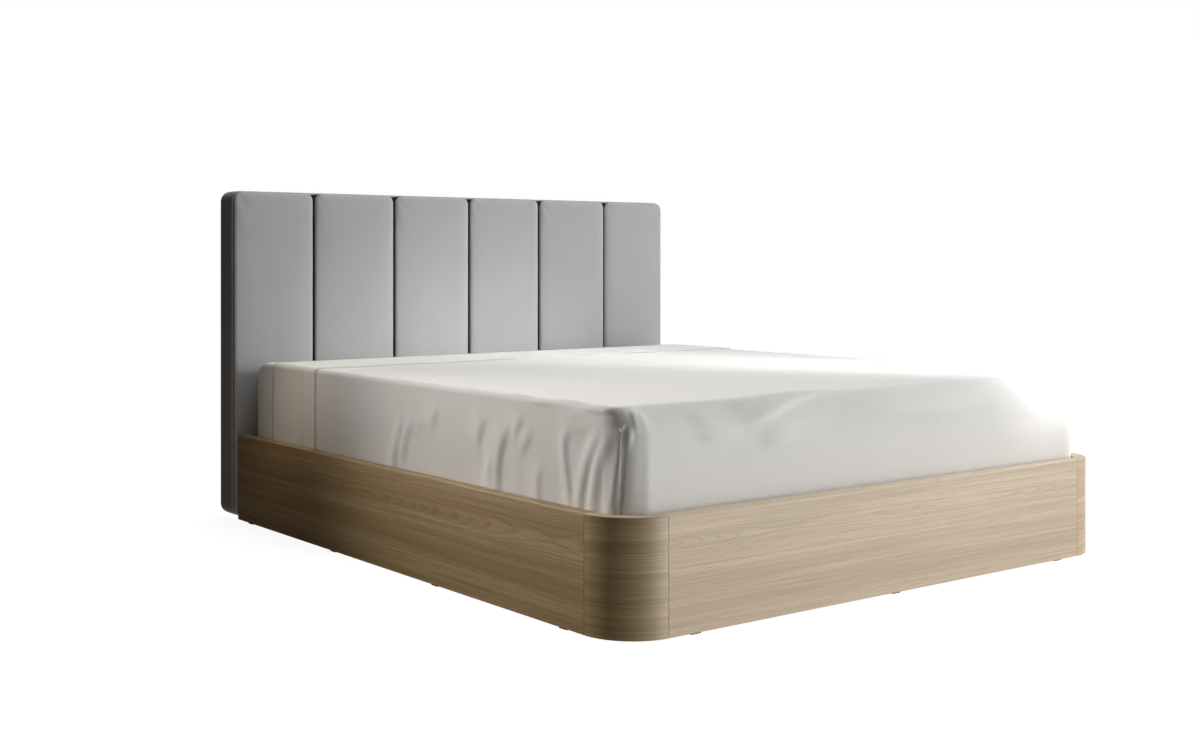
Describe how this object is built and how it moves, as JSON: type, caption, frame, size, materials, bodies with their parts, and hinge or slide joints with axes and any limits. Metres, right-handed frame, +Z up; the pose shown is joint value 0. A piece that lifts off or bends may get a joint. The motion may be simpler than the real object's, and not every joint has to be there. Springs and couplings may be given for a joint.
{
  "type": "upholstered storage bed",
  "caption": "Bed with a channelled upholstered headboard, rounded wooden base and a lift-up slatted platform over a storage space, made up with a mattress and sheets.",
  "frame": {"origin": "on the floor, under the middle of the whole bed", "axes": "+Y towards the headboard, +X to the right of someone lying on their back, +Z up"},
  "size_m": [1.93, 2.202, 1.13],
  "materials": {
    "oak_laminate": "satin oak grain",
    "pine": "planed, bare",
    "board": "bare sheet board",
    "grey_upholstery": "matt woven",
    "painted_steel": "satin powder coat",
    "strut_paint": "semi-gloss",
    "strut_chrome": "polished",
    "birch": "smooth veneer",
    "nylon": "matt",
    "glide_plastic": "matt",
    "mattress_ticking": "matt knit",
    "white_cotton": "matt woven"
  },
  "bodies": {
    "base": {"left_side_rail": "oak_laminate", "right_side_rail": "oak_laminate", "left_corner": "oak_laminate", "right_corner": "oak_laminate", "left_corner_block": "pine", "right_corner_block": "pine", "left_storage_floor": "board", "right_storage_floor": "board", "left_ledge": "pine", "right_ledge": "pine", "left_headboard_bracket": "painted_steel", "right_headboard_bracket": "painted_steel", "left_headboard_post": "pine", "right_headboard_post": "pine", "left_pivot_plate": "painted_steel", "right_pivot_plate": "painted_steel", "left_upper_track": "painted_steel", "right_upper_track": "painted_steel", "left_lower_track": "painted_steel", "right_lower_track": "painted_steel", "left_strut_foot": "painted_steel", "right_strut_foot": "painted_steel", "foot_rail": "oak_laminate", "floor_glides": "glide_plastic", "floor_bearers": "pine", "head_rail": "pine", "foot_ledge": "pine", "headboard_pad_1": "grey_upholstery", "headboard_pad_2": "grey_upholstery", "headboard_pad_3": "grey_upholstery", "headboard_pad_4": "grey_upholstery", "headboard_pad_5": "grey_upholstery", "headboard_pad_6": "grey_upholstery", "headboard_cover": "grey_upholstery", "headboard_front_board": "board", "headboard_back_board": "board", "headboard_top_beam": "pine", "headboard_bottom_beam": "pine"},
    "lift_arms": {"left_lift_arm": "painted_steel", "right_lift_arm": "painted_steel"},
    "strut_cylinders": {"left_strut_cylinder": "strut_paint", "right_strut_cylinder": "strut_paint"},
    "strut_rods": {"left_strut_rod": "strut_chrome", "right_strut_rod": "strut_chrome"},
    "platform": {"left_side_tube": "painted_steel", "right_side_tube": "painted_steel", "left_lift_fittings": "painted_steel", "right_lift_fittings": "painted_steel", "left_slats": "birch", "right_slats": "birch", "left_track_roller": "nylon", "right_track_roller": "nylon", "head_tube": "painted_steel", "foot_tube": "painted_steel", "centre_tube": "painted_steel", "mattress": "mattress_ticking", "fitted_sheet": "white_cotton", "top_sheet": "white_cotton"}
  },
  "joints": [
    {"name": "lift", "type": "hinge", "parent": "base", "child": "lift_arms", "pos_m": [0, 0.20854, 0.09], "axis": [1, 0, 0], "range_deg": [0, 38]},
    {"name": "platform_pivot", "type": "hinge", "parent": "lift_arms", "child": "platform", "pos_m": [0, 0.54577, 0.216], "axis": [-1, 0, 0], "range_deg": [0, 76]},
    {"name": "strut_foot_pivot", "type": "hinge", "parent": "base", "child": "strut_cylinders", "pos_m": [0, 0.45226, 0.052], "axis": [1, 0, 0], "range_deg": [0, 52.1]},
    {"name": "strut_head_pivot", "type": "hinge", "parent": "platform", "child": "strut_rods", "pos_m": [0, 0.62163, 0.194], "axis": [1, 0, 0], "range_deg": [0, 90.1]}
  ],
  "couplings": [
    {"joint": "platform_pivot", "follows": "lift", "ratio": 2},
    {"joint": "strut_foot_pivot", "follows": "lift", "ratio": 1.3698},
    {"joint": "strut_head_pivot", "follows": "lift", "ratio": 2.3698}
  ]
}
